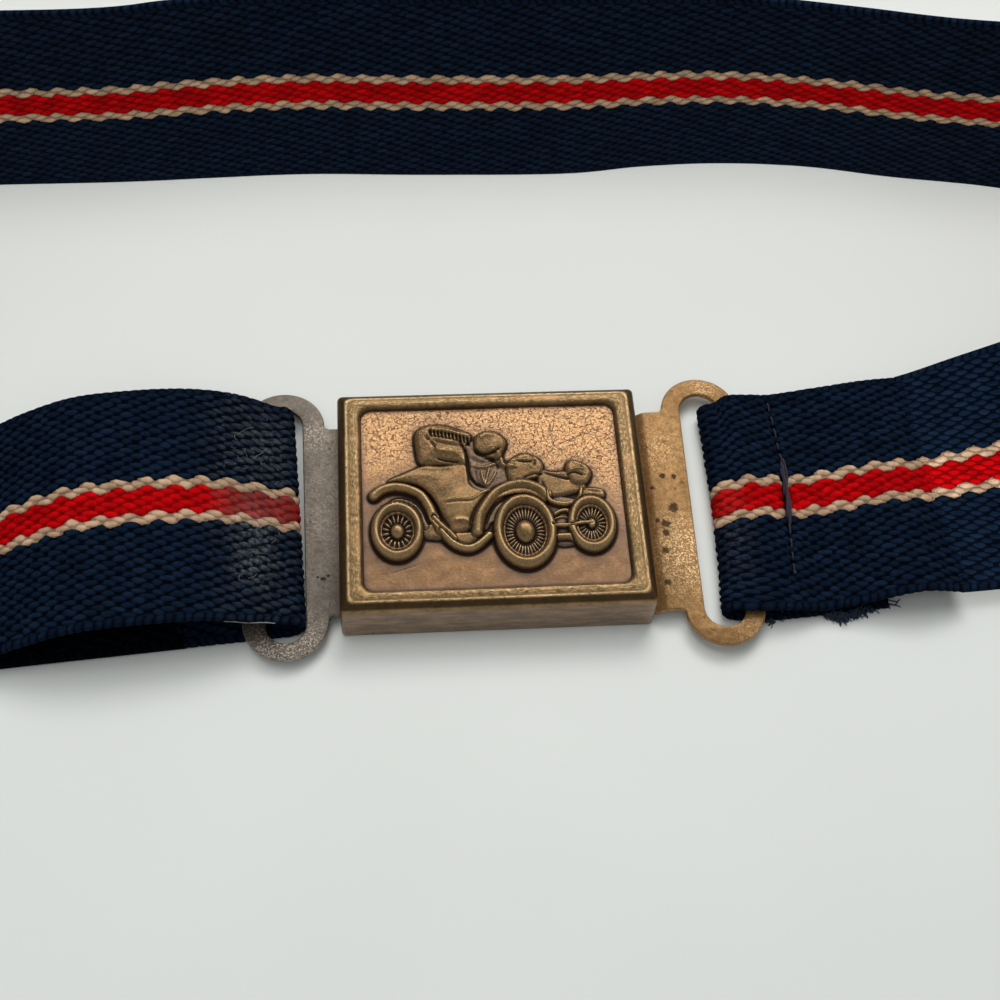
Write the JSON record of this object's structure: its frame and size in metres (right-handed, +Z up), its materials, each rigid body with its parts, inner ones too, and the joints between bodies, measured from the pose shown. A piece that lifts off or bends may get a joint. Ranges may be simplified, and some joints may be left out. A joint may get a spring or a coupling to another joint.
{
  "type": "elastic belt",
  "caption": "Child's elastic webbing belt, fastened by a two-plate hook buckle under a stamped brass cover with a veteran car in relief",
  "frame": {"origin": "on the surface, below the middle of the whole belt", "axes": "+X along the front of the belt to the wearer's left, +Y from the buckle to the back of the belt, +Z up"},
  "size_m": [0.2416, 0.0806, 0.032],
  "materials": {
    "aged_brass": "stamped sheet, aged and darkened",
    "copper_plate": "worn copper-brown sheet",
    "greyed_brass": "dull grey-brown worn sheet",
    "webbing": "ribbed navy elastic webbing with a red and cream stripe"
  },
  "bodies": {
    "root": {"buckle_cover": "aged_brass", "loop_plate": "copper_plate", "hook_plate": "greyed_brass", "strap": "webbing"}
  },
  "joints": []
}
